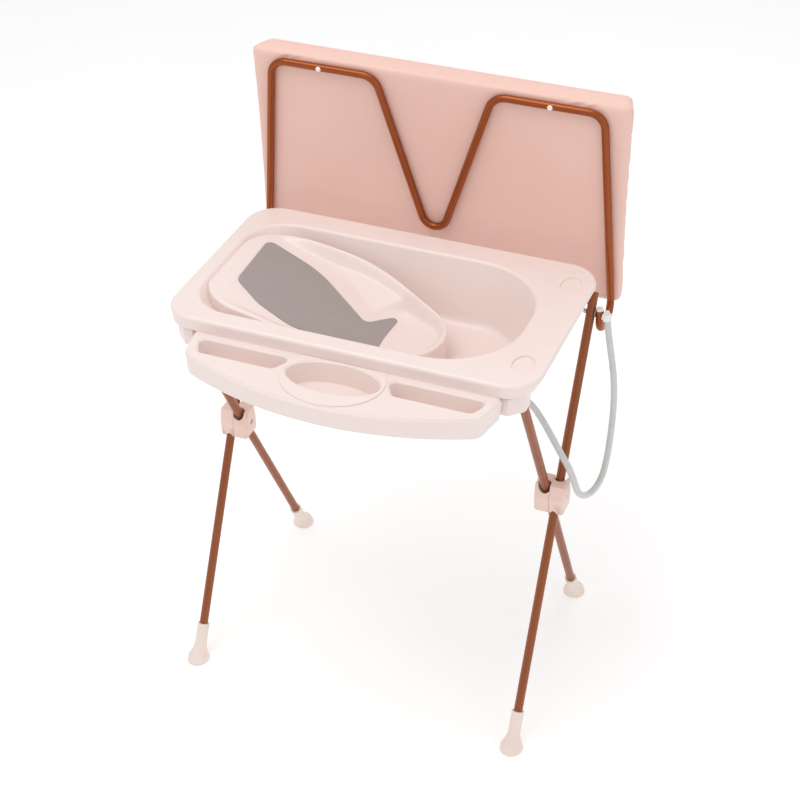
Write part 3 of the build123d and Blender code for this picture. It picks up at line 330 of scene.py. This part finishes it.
def ease(low, high, value):
    """0 below low, 1 above high, and a smooth rise between them."""
    share = max(0.0, min(1.0, (value - low) / (high - low)))
    return share * share * (3 - 2 * share)


def seat_half(x):
    """Half the seat's width at one place along it."""
    half = soft_min(SEAT_HALF, SEAT_HALF - SEAT_NARROWING * (x - SEAT_SHOULDER), SHOULDER_BLEND)
    for gap, radius in ((x - SEAT_HEAD, SEAT_HEAD_ROUND), (SEAT_NOSE - x, SEAT_NOSE_ROUND)):
        if gap < radius:
            half -= radius - sqrt(max(0.0, radius ** 2 - (radius - gap) ** 2))
    return half


def beside(place, start, end):
    """How far a place lies on the left of the line from start to end."""
    run, way = (end - start).normalized(), place - start
    return run.x * way.y - run.y * way.x


def seat_height(x, across):
    """The seat's upper face: a slope and a level end, with a rounded crest round them."""
    slope = RIM_TOP - SEAT_FALL * (x - SEAT_FALL_START) - SEAT_SINK
    back = soft_min(-soft_min(-slope, -SEAT_SHELF, SHELF_BLEND), SEAT_TOP, TOP_BLEND)
    place = Vector((x, across))
    arm = -soft_min(-beside(place, ARM_FOOT, ARM_CORNER), 0.0, ARM_CREASE)
    back += ARM_RISE * arm * ease(*ARM_END, beside(place, ARM_CORNER, ARM_TIP))
    fall = max(0.0, (x - CREST_START) / CREST_RUN) ** CREST_CURVE
    crest = max(back, CREST_TOP - CREST_DROP * fall)
    wall_share = NEAR_WALL_SHARE + (1 - NEAR_WALL_SHARE) * ease(*NEAR_WALL_REACH, across)
    crest = back + (crest - back) * wall_share
    side, end = seat_half(x) - abs(across), SEAT_NOSE - x
    inside = soft_min(side, end, CREST_TURN)
    height = back + (crest - back) * (1 - ease(CREST_ROUND, CREST_WALL, inside))
    edge = max(0.0, min(side, end, x - SEAT_HEAD))
    if edge < CREST_ROUND:
        height -= CREST_ROUND - sqrt(CREST_ROUND ** 2 - (CREST_ROUND - edge) ** 2)
    return height


def basin_height(x, y):
    """The height of the basin's wall or floor under one place, found by halving the depth."""
    shallow, deep = 0.0, BASIN_DEPTH
    for _ in range(DEPTH_HALVINGS):
        depth = (shallow + deep) / 2
        share = depth / BASIN_DEPTH
        radius = HEAD_CORNER - HEAD_CORNER_LEAN * share
        left = x - BASIN_LEFT - LEFT_LEAN * share
        front = min(y - BASIN_FRONT - FRONT_LEAN * share, BASIN_REAR - REAR_LEAN * share - y)
        corner = radius - sqrt(max(0.0, radius - left) ** 2 + max(0.0, radius - front) ** 2)
        if min(left, front, corner) > 0:
            shallow = depth
        else:
            deep = depth
    return RIM_TOP - shallow


SEAT_ROWS, SEAT_COLUMNS = 150, 96
bpy.ops.mesh.primitive_grid_add(x_subdivisions=SEAT_ROWS, y_subdivisions=SEAT_COLUMNS, size=2)
seat = bpy.context.object
seat.name = "bath_seat_moulding"
for vertex in seat.data.vertices:
    x = SEAT_HEAD + (SEAT_NOSE - SEAT_HEAD) * (1 - cos(pi * (vertex.co.x + 1) / 2)) / 2
    across = sin(pi / 2 * vertex.co.y) * seat_half(x)
    vertex.co = (x, SEAT_MIDDLE + across, seat_height(x, across))
top_count = len(seat.data.vertices)
bpy.ops.object.mode_set(mode="EDIT")
bpy.ops.mesh.select_mode(type="EDGE")
bpy.ops.mesh.select_all(action="DESELECT")
bpy.ops.mesh.select_non_manifold()
bpy.ops.mesh.extrude_region_move(TRANSFORM_OT_translate={"value": (0, 0, -SKIRT_START)})
bpy.ops.object.mode_set(mode="OBJECT")
for vertex in list(seat.data.vertices)[top_count:]:
    x, y, z = vertex.co
    vertex.co.z = min(z, basin_height(x, y) - SKIRT_TUCK)
bpy.ops.object.mode_set(mode="EDIT")
bpy.ops.mesh.select_all(action="SELECT")
bpy.ops.mesh.remove_doubles(threshold=SEAT_MERGE)
bpy.ops.mesh.normals_make_consistent(inside=False)
bpy.ops.object.mode_set(mode="OBJECT")
thickness = seat.modifiers.new("skin", "SOLIDIFY")
thickness.thickness = SEAT_SKIN
thickness.offset = -1
bpy.ops.object.modifier_apply(modifier="skin")
bpy.ops.object.shade_smooth_by_angle(angle=radians(40))
seat.data.materials.append(shell_pink.material)
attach(seat, "tub")
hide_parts("bath_seat")
bpy.ops.object.select_all(action="DESELECT")

# Non-slip sheet: soft grey rubber, cut to its outline and glued to the seat's slope, with a fine
# pebbled face. The washer under the drain is of the same rubber.
grip_grey = Finish("grip_rubber", Roughness=0.75)
cloud = grip_grey.noise(40, 3)
pebble = grip_grey.node("ShaderNodeTexVoronoi", {}, {"Vector": grip_grey.place(), "Scale": 420.0})
grip_grey.paint(
    colour=grip_grey.mix(cloud, shade(160, 150, 147), shade(168, 157, 153)),
    roughness=grip_grey.between(cloud, 0.3, 0.7, 0.7, 0.82),
    height=pebble, depth=0.0006, strength=0.5,
)
dress(grip_grey.material, "seat_grip_pad", "drain_washer")

# Drain fittings, hose hook, mat screws and tube caps: small mouldings in smooth white plastic,
# screwed through the basin's floor, pushed on the hose and the tube, or driven into the board.
white = Finish("white_plastic", Roughness=0.3)
cloud = white.noise(80, 2)
white.paint(colour=white.mix(cloud, shade(236, 233, 230), shade(246, 244, 242)),
            roughness=white.between(cloud, 0.3, 0.7, 0.26, 0.38),
            height=white.noise(900, 1), depth=0.0001, strength=0.3)
dress(white.material, "mat_screws", "mat_end_caps", "hose_hook", "drain_strainer", "drain_nut", "drain_elbow")

# Drain hose: a limp cloudy plastic tube, pushed on to the elbow under the drain. It hangs in a
# loop beside the right legs and ends in the collar that hooks on the mat's hinge stud.
HOSE_DIAMETER = 0.014
hose_route = [
    (0.262, 0.010, 0.763), (0.292, 0.010, 0.756), (0.321, 0.011, 0.734), (0.342, 0.012, 0.703),
    (0.362, 0.014, 0.666), (0.383, 0.015, 0.628), (0.402, 0.018, 0.592), (0.413, 0.020, 0.562),
    (0.421, 0.024, 0.530), (0.429, 0.043, 0.507), (0.439, 0.070, 0.499), (0.447, 0.097, 0.507),
    (0.452, 0.116, 0.530), (0.455, 0.126, 0.575), (0.456, 0.135, 0.627), (0.455, 0.144, 0.678),
    (0.450, 0.154, 0.727), (0.440, 0.164, 0.774), (0.428, 0.173, 0.818), (0.419, 0.182, 0.858),
]
hose_curve = bpy.data.curves.new("drain_hose_tube", "CURVE")
hose_curve.dimensions = "3D"
spline = hose_curve.splines.new("NURBS")
spline.points.add(len(hose_route) - 1)
for point, place in zip(spline.points, hose_route):
    point.co = (*place, 1)
spline.order_u = 3
spline.use_endpoint_u = True
spline.resolution_u = 8
hose_curve.bevel_depth = HOSE_DIAMETER / 2
hose_curve.bevel_resolution = 6
hose_curve.use_fill_caps = True
hose = bpy.data.objects.new("drain_hose_tube", hose_curve)
bpy.context.scene.collection.objects.link(hose)
cloudy = Finish("cloudy_hose", Roughness=0.34, Coat_Weight=0.2)
haze = cloudy.noise(60, 3)
cloudy.paint(
    colour=cloudy.mix(haze, shade(196, 198, 197), shade(216, 216, 215)),
    roughness=cloudy.between(haze, 0.3, 0.7, 0.28, 0.42),
    height=cloudy.noise(220, 1), depth=0.0003,
)
hose_curve.materials.append(cloudy.material)
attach(hose, "tub")
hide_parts("drain_hose")

# Mat tube: one bent length of thinner steel tube, a W with hooked ends that turn on the stand's
# hinge bolts. Its coat is the same copper lacquer from a redder batch.
mat_copper = Finish("mat_tube_lacquer", Metallic=0.85, Roughness=0.36, Coat_Weight=0.1, Coat_Roughness=0.15)
flake = mat_copper.noise(900, 2, 0.6)
cloud = mat_copper.noise(11, 3)
mat_copper.paint(
    colour=mat_copper.mix(flake * 0.5 + cloud * 0.5, shade(146, 72, 34), shade(163, 88, 46)),
    roughness=mat_copper.between(cloud, 0.3, 0.7, 0.30, 0.42),
    height=flake, depth=0.0001, strength=0.4,
)
dress(mat_copper.material, "mat_frame")

# Changing pad: foam in a cover of pink vinyl, drawn tight over the board that the tube's screws
# hold. Its underside faces the tub and stays flat. The cover is cut as a box whose lying face is
# a little smaller, so its seams stay straight while the panels between them swell.
MAT_PLACE = Matrix.Translation((0, RIM_MIDDLE + 0.1905, 0.860)) @ Matrix.Rotation(radians(2), 4, "X")
PAD_HALF, PAD_LOW, PAD_HIGH = 0.412, -0.037, 0.423
PAD_FRONT, PAD_SEAM = 0.0994, 0.161
PAD_LYING_SHARE = Vector((0.972, 1, 0.982))
PAD_TOP_CORNER, PAD_LOW_CORNER, PAD_EDGE = 0.012, 0.034, 0.005
PAD_VOXEL, PAD_SEAM_BAND, PAD_FLAT_BAND = 0.0064, 0.007, 0.002
PAD_PRESSURE, PAD_STRETCH, PAD_STEPS = 4, -0.015, 20
PAD_SWELL, PAD_DRAW_IN, PAD_TOP_TURN = 0.009, 0.004, (0.012, 0.002)
PAD_THROUGH = 0.03
pad_height, pad_middle = PAD_HIGH - PAD_LOW, (PAD_LOW + PAD_HIGH) / 2
bpy.ops.mesh.primitive_cube_add(size=1)
pad = bpy.context.object
pad.name = "changing_pad"
bpy.ops.object.mode_set(mode="EDIT")
bpy.ops.mesh.select_all(action="SELECT")
bpy.ops.transform.resize(value=(2 * PAD_HALF, PAD_SEAM - PAD_FRONT, pad_height))
bpy.ops.transform.translate(value=(0, (PAD_FRONT + PAD_SEAM) / 2, pad_middle))
bpy.ops.object.mode_set(mode="OBJECT")
for radius, at_top in ((PAD_TOP_CORNER, True), (PAD_LOW_CORNER, False)):
    for edge in pad.data.edges:
        near, far = (pad.data.vertices[i].co for i in edge.vertices)
        edge.select = abs(near.y - far.y) > PAD_THROUGH and (near.z > pad_middle) == at_top
    bpy.ops.object.mode_set(mode="EDIT")
    bpy.ops.mesh.select_mode(type="EDGE")
    bpy.ops.mesh.bevel(offset=radius, segments=6, affect="EDGES")
    bpy.ops.mesh.select_all(action="DESELECT")
    bpy.ops.object.mode_set(mode="OBJECT")
for vertex in pad.data.vertices:
    if vertex.co.y > (PAD_FRONT + PAD_SEAM) / 2:
        middle = Vector((0, vertex.co.y, pad_middle))
        vertex.co = middle + (vertex.co - middle) * PAD_LYING_SHARE
rounding = pad.modifiers.new("rounding", "BEVEL")
rounding.width = PAD_EDGE
rounding.segments = 3
rounding.limit_method = "ANGLE"
rounding.angle_limit = radians(50)
bpy.ops.object.modifier_apply(modifier="rounding")
voxels = pad.modifiers.new("voxels", "REMESH")
voxels.mode = "VOXEL"
voxels.voxel_size = PAD_VOXEL
bpy.ops.object.modifier_apply(modifier="voxels")


def seam_distances(place):
    """How far a point of the pad lies inside its front, its lying face and its four sides."""
    share = (place.y - PAD_FRONT) / (PAD_SEAM - PAD_FRONT)
    half = PAD_HALF * (1 + (PAD_LYING_SHARE.x - 1) * share)
    rise = pad_height / 2 * (1 + (PAD_LYING_SHARE.z - 1) * share)
    return sorted((place.y - PAD_FRONT, PAD_SEAM - place.y,
                   half - abs(place.x), rise - abs(place.z - pad_middle)))


held = pad.vertex_groups.new(name="held")
held.add([v.index for v in pad.data.vertices
          if v.co.y < PAD_FRONT + PAD_FLAT_BAND
          or seam_distances(v.co)[1] < PAD_SEAM_BAND], 1.0, "REPLACE")
before = [vertex.co.copy() for vertex in pad.data.vertices]
cloth = pad.modifiers.new("cover", "CLOTH")
cloth.settings.use_pressure = True
cloth.settings.uniform_pressure_force = PAD_PRESSURE
cloth.settings.shrink_min = PAD_STRETCH
cloth.settings.effector_weights.gravity = 0
cloth.settings.vertex_group_mass = "held"
for step in range(1, PAD_STEPS + 1):
    bpy.context.scene.frame_set(step)
bpy.ops.object.modifier_apply(modifier="cover")
bpy.context.scene.frame_set(1)
for vertex, start in zip(pad.data.vertices, before):
    way = vertex.co - start
    if way.length > PAD_SWELL:
        vertex.co = start + way * (PAD_SWELL / way.length)
pad.vertex_groups.clear()
finer = pad.modifiers.new("finer", "SUBSURF")
finer.levels = finer.render_levels = 1
bpy.ops.object.modifier_apply(modifier="finer")
PAD_FOLDS = (
    ((-0.345, 0.404), (-0.306, 0.421), 0.0022), ((-0.322, 0.406), (-0.276, 0.422), 0.0020),
    ((-0.288, 0.412), (-0.240, 0.424), 0.0016), ((0.262, 0.413), (0.300, 0.424), 0.0018),
    ((0.290, 0.408), (0.334, 0.422), 0.0022), ((0.318, 0.404), (0.352, 0.420), 0.0016),
    ((0.372, 0.330), (0.404, 0.318), 0.0014), ((-0.400, 0.300), (-0.372, 0.288), 0.0012),
    ((0.386, 0.060), (0.402, 0.020), 0.0014),
)
PAD_FOLD_WIDTH, PAD_FOLD_REACH = 0.0042, 0.030


def fold_depth(place):
    """How deep the cover's small pull creases are at one place, near the front and the top edge."""
    depth = 0.0
    for start, end, deep in PAD_FOLDS:
        run = Vector(end) - Vector(start)
        along = (Vector((place.x, place.z)) - Vector(start)).dot(run) / run.length_squared
        nearest = Vector(start) + run * max(0.0, min(1.0, along))
        gap = (Vector((place.x, place.z)) - nearest).length
        fade = max(0.0, 1 - abs(2 * along - 1) ** 2) if 0 < along < 1 else 0.0
        depth += deep * fade * exp(-(gap / PAD_FOLD_WIDTH) ** 2)
    return depth * max(0.0, 1 - (place.y - PAD_FRONT) / PAD_FOLD_REACH)


def drawn_in(x, z):
    """Where a point across the pad lies once the cover has pulled the two ends in between corners."""
    return x * (1 - PAD_DRAW_IN / PAD_HALF * max(0.0, 1 - ((z - pad_middle) / (pad_height / 2)) ** 2))


for vertex in pad.data.vertices:
    x, y, z = vertex.co
    depth = fold_depth(vertex.co)
    at_top = ease(PAD_HIGH - PAD_TOP_TURN[0], PAD_HIGH - PAD_TOP_TURN[1], z)
    front = max(y + depth * (1 - at_top), PAD_FRONT)
    vertex.co = MAT_PLACE @ Vector((drawn_in(x, z), front, z - depth * at_top))
bpy.ops.object.shade_smooth()
vinyl = Finish("pink_vinyl", Roughness=0.5, Coat_Weight=0.08)
cloud = vinyl.noise(5, 3)
grain = vinyl.node("ShaderNodeTexVoronoi", {}, {"Vector": vinyl.place(), "Scale": 520.0})
crease = vinyl.noise(34, 3, 0.6)
vinyl.paint(
    colour=vinyl.mix(cloud, shade(235, 192, 179), shade(240, 201, 189)),
    roughness=vinyl.between(cloud, 0.3, 0.7, 0.45, 0.58),
    height=grain * 0.25 + crease, depth=0.0012, strength=0.35,
)
pad.data.materials.append(vinyl.material)
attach(pad, "mat")
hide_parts("mat_pad", "mat_board")
bpy.ops.object.select_all(action="DESELECT")

# Pad welt: a thin cord wrapped in the cover's vinyl and sewn into the seam round the pad's lying
# face, so that it turns the corners with the seam and pulls in with the ends.
WELT_DIAMETER, WELT_SEAM, WELT_INSET, WELT_CUTS = 0.0044, 0.1577, 0.0042, 5
bpy.ops.mesh.primitive_plane_add(size=1)
welt = bpy.context.object
welt.name = "changing_pad_welt"
for vertex in welt.data.vertices:
    x = vertex.co.x * 2 * (PAD_HALF * PAD_LYING_SHARE.x - WELT_INSET)
    z = vertex.co.y * (pad_height * PAD_LYING_SHARE.z - 2 * WELT_INSET)
    vertex.co = (x, WELT_SEAM, pad_middle + z)
for radius, at_top in ((PAD_TOP_CORNER, True), (PAD_LOW_CORNER, False)):
    for vertex in welt.data.vertices:
        vertex.select = (vertex.co.z > pad_middle) == at_top
    bpy.ops.object.mode_set(mode="EDIT")
    bpy.ops.mesh.select_mode(type="VERT")
    bpy.ops.mesh.bevel(offset=radius, segments=8, affect="VERTICES")
    bpy.ops.mesh.select_all(action="DESELECT")
    bpy.ops.object.mode_set(mode="OBJECT")
bpy.ops.object.mode_set(mode="EDIT")
bpy.ops.mesh.select_all(action="SELECT")
bpy.ops.mesh.subdivide(number_cuts=WELT_CUTS)
bpy.ops.mesh.delete(type="ONLY_FACE")
bpy.ops.object.mode_set(mode="OBJECT")
bpy.ops.object.convert(target="CURVE")
welt.data.bevel_depth = WELT_DIAMETER / 2
welt.data.bevel_resolution = 3
bpy.ops.object.convert(target="MESH")
for vertex in welt.data.vertices:
    x, y, z = vertex.co
    vertex.co = MAT_PLACE @ Vector((drawn_in(x, z), y, z))
bpy.ops.object.shade_smooth()
welt.data.materials.append(vinyl.material)
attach(welt, "mat")
bpy.ops.object.select_all(action="DESELECT")
